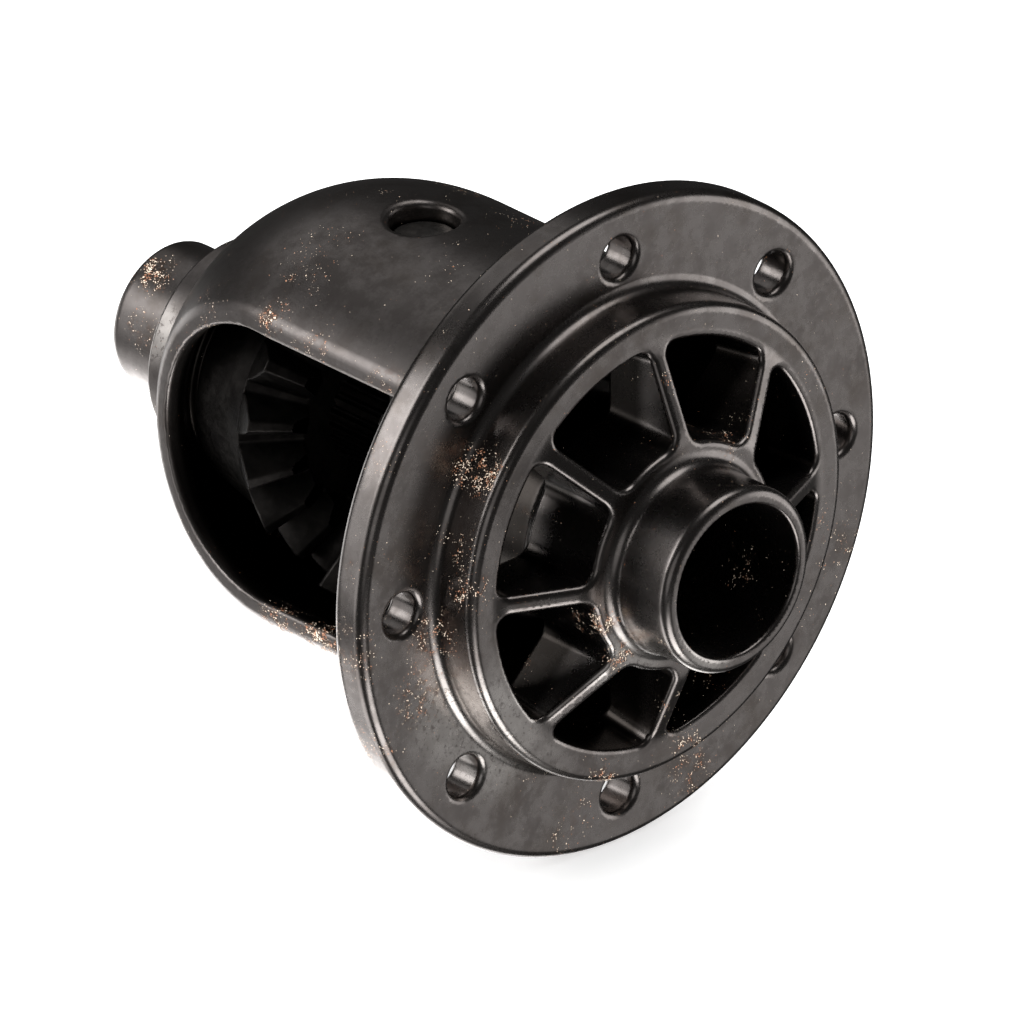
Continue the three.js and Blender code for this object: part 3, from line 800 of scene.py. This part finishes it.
pin_reach = (CROSS_PIN_RADIUS, CROSS_PIN_RADIUS, CROSS_PIN_END)
pin_box = ([-value for value in pin_reach], pin_reach)
pin = mesh_field("pinion_shaft", cross_pin_field, *pin_box, SMALL_STEP, MOST_TRIANGLES)
place_piece(pin, "case", "cross_pin", pin_steel)
lock_box = (
    (-LOCK_PIN_RADIUS, -LOCK_PIN_END, LOCK_HEIGHT - LOCK_PIN_RADIUS),
    (LOCK_PIN_RADIUS, LOCK_PIN_END, LOCK_HEIGHT + LOCK_PIN_RADIUS),
)
lock = mesh_field("shaft_lock_pin", lock_pin_field, *lock_box, SMALL_STEP, MOST_TRIANGLES)
place_piece(lock, "case", "lock_pin", pin_steel)

WASHER_MARGIN = 0.5                # how far a washer stays inside the edge of its seat
GEAR_SETS = (
    # gear, its field and box, washer's seat, inner and outer radius, and (side, turn about Y)
    ("pinion", pinion_field, PINION_BOX, PINION_SEAT, PIN_HOLE_RADIUS,
     PINION_SEAT_RADIUS - WASHER_MARGIN, (("upper", 0.0), ("lower", math.pi))),
    ("side", side_gear_field, SIDE_GEAR_BOX, SIDE_SEAT, SIDE_POCKET_RADIUS,
     SIDE_SEAT_RADIUS - WASHER_MARGIN, (("front", math.pi / 2), ("rear", -math.pi / 2))),
)
for kind, gear_field, gear_box, seat, inner, outer, sides in GEAR_SETS:
    ring_box = (
        (-outer, -outer, seat - CLEARANCE - WASHER_THICKNESS), (outer, outer, seat - CLEARANCE),
    )
    ring_field = washer_field(seat, inner, outer)
    gears = [mesh_field(f"{kind}_gear", gear_field, *gear_box, GEAR_STEP, MOST_TRIANGLES)]
    rings = [mesh_field(f"{kind}_washer", ring_field, *ring_box, SMALL_STEP, MOST_TRIANGLES)]
    gears.append(twin(gears[0]))
    rings.append(twin(rings[0]))
    for (side, turn), gear, ring in zip(sides, gears, rings):
        body = f"{kind}_gear_{side}"
        gear.name = gear.data.name = f"{kind}_{side}_gear"
        ring.name = ring.data.name = f"{kind}_{side}_thrust_washer"
        place_piece(gear, body, body, gear_steel, turn)
        place_piece(
            ring, "case", f"{kind}_thrust_washer_{side}", washer_steel, turn,
        )

# ---------------------------------------------------------------- floor, light and camera
FLOOR_RADIUS = 0.55
FLOOR_SIDES = 96
FLOOR_GLOW = 0.45
FLOOR_GAP = 0.0005                 # metres under the flange's lowest point
OVERHEAD_POWER = 95                # watts
OVERHEAD_DISTANCE = 4.0
OVERHEAD_SIZE = 5.6
ROOM_SEEN, ROOM_GLOSS, ROOM_FILL = 1.0, 0.03, 1.0

# These directions and powers began as a scratch program's fit to the photo's brightness, and were
# then merged, rounded and changed by hand.
SOFTBOXES = (
    # name, azimuth from +X and elevation in degrees, power in watts
    ("behind_low", 166, -46, 8),
    ("behind", -178, -20, 4),
    ("behind_high", 168, 42, 1.0),
    ("behind_under", 150, -62, 5),
    ("left_under", -125, -50, 6.0),
    ("right_under", -17, -50, 9),
    ("left", -118, -6, 2.6),
    ("left_high", -122, 28, 8.0),
    ("beyond", 56, -3, 4.0),
    ("beyond_low", 44, -28, 1.3),
    ("right", -48, 7, 1.2),
    ("top", 52, 70, 5.2),
)
CAMERA_AZIMUTH = math.radians(46.97)   # from -Y towards +X
CAMERA_ELEVATION = math.radians(26.2)
CAMERA_DISTANCE = 3.0
PICTURE_WIDTH = 0.23168            # metres of the object across the picture
AIM_RIGHT, AIM_UP = -0.02436, 0.0031   # metres from the flange's centre, in the picture's axes

right = Vector((math.cos(CAMERA_AZIMUTH), math.sin(CAMERA_AZIMUTH), 0))
back = Vector((
    math.sin(CAMERA_AZIMUTH) * math.cos(CAMERA_ELEVATION),
    -math.cos(CAMERA_AZIMUTH) * math.cos(CAMERA_ELEVATION),
    math.sin(CAMERA_ELEVATION),
))
up = back.cross(right)


def add_floor(height):
    """A pale light table: it glows a little, casts no shadow, so that the softboxes under it reach
    the object, and isn't seen in reflections. Past its edge the camera sees the pale room."""
    ring = [
        (FLOOR_RADIUS * math.cos(angle), FLOOR_RADIUS * math.sin(angle), height)
        for angle in np.linspace(0, 2 * math.pi, FLOOR_SIDES, endpoint=False)
    ]
    mesh = bpy.data.meshes.new("floor")
    mesh.from_pydata(ring, [], [range(FLOOR_SIDES)])
    floor = bpy.data.objects.new("floor", mesh)
    bpy.context.scene.collection.objects.link(floor)
    tree = Tree("floor_pale")
    shade = tree.mix(tree.noise(60), (0.90, 0.90, 0.90), (0.93, 0.93, 0.93))
    tree.feed(tree.shader.inputs["Emission Color"], (1, 1, 1, 1))
    tree.feed(tree.shader.inputs["Emission Strength"], FLOOR_GLOW)
    mesh.materials.append(tree.finish(shade, 0.9, 0.0))
    floor.visible_glossy = False
    floor.visible_shadow = False


def add_softbox(name, azimuth, elevation, power, distance=1.5, size=1.0, in_gloss=True):
    """A soft round light that faces the object from a direction, and isn't seen by the camera."""
    turn, rise = math.radians(azimuth), math.radians(elevation)
    direction = Vector((
        math.cos(turn) * math.cos(rise), math.sin(turn) * math.cos(rise), math.sin(rise),
    ))
    light = bpy.data.lights.new(name, "AREA")
    light.shape = "DISK"
    light.size = size
    light.energy = power
    lamp = bpy.data.objects.new(name, light)
    lamp.location = direction * distance
    lamp.rotation_euler = direction.to_track_quat("Z", "Y").to_euler()
    lamp.visible_camera = False
    lamp.visible_glossy = in_gloss
    bpy.context.scene.collection.objects.link(lamp)


def add_room():
    """Pale to the camera, nearly black in reflections, and a soft fill for the shadows."""
    world = bpy.data.worlds.new("studio")
    world.use_nodes = True
    nodes, links = world.node_tree.nodes, world.node_tree.links
    rays = nodes.new("ShaderNodeLightPath")
    strength = ROOM_GLOSS
    for ray, level in (("Is Camera Ray", ROOM_SEEN), ("Is Diffuse Ray", ROOM_FILL)):
        add = nodes.new("ShaderNodeMath")
        add.operation = "MULTIPLY_ADD"
        links.new(rays.outputs[ray], add.inputs[0])
        add.inputs[1].default_value = level - ROOM_GLOSS
        if isinstance(strength, float):
            add.inputs[2].default_value = strength
        else:
            links.new(strength, add.inputs[2])
        strength = add.outputs[0]
    links.new(strength, nodes["Background"].inputs["Strength"])
    nodes["Background"].inputs["Color"].default_value = (1, 1, 1, 1)
    bpy.context.scene.world = world


add_floor(case_low.z * MM - FLOOR_GAP)
add_softbox("overhead", 0, 90, OVERHEAD_POWER, OVERHEAD_DISTANCE, OVERHEAD_SIZE, in_gloss=False)
for softbox in SOFTBOXES:
    add_softbox(*softbox)
add_room()
bpy.context.scene.view_settings.view_transform = "Standard"

camera_data = bpy.data.cameras.new("camera")
camera_data.type = "ORTHO"
camera_data.ortho_scale = PICTURE_WIDTH
camera = bpy.data.objects.new("camera", camera_data)
aim = Vector((FLANGE_FRONT * MM, 0, 0)) + right * AIM_RIGHT + up * AIM_UP
camera.location = aim + back * CAMERA_DISTANCE
camera.rotation_euler = back.to_track_quat("Z", "Y").to_euler()
bpy.context.scene.collection.objects.link(camera)
bpy.context.scene.camera = camera
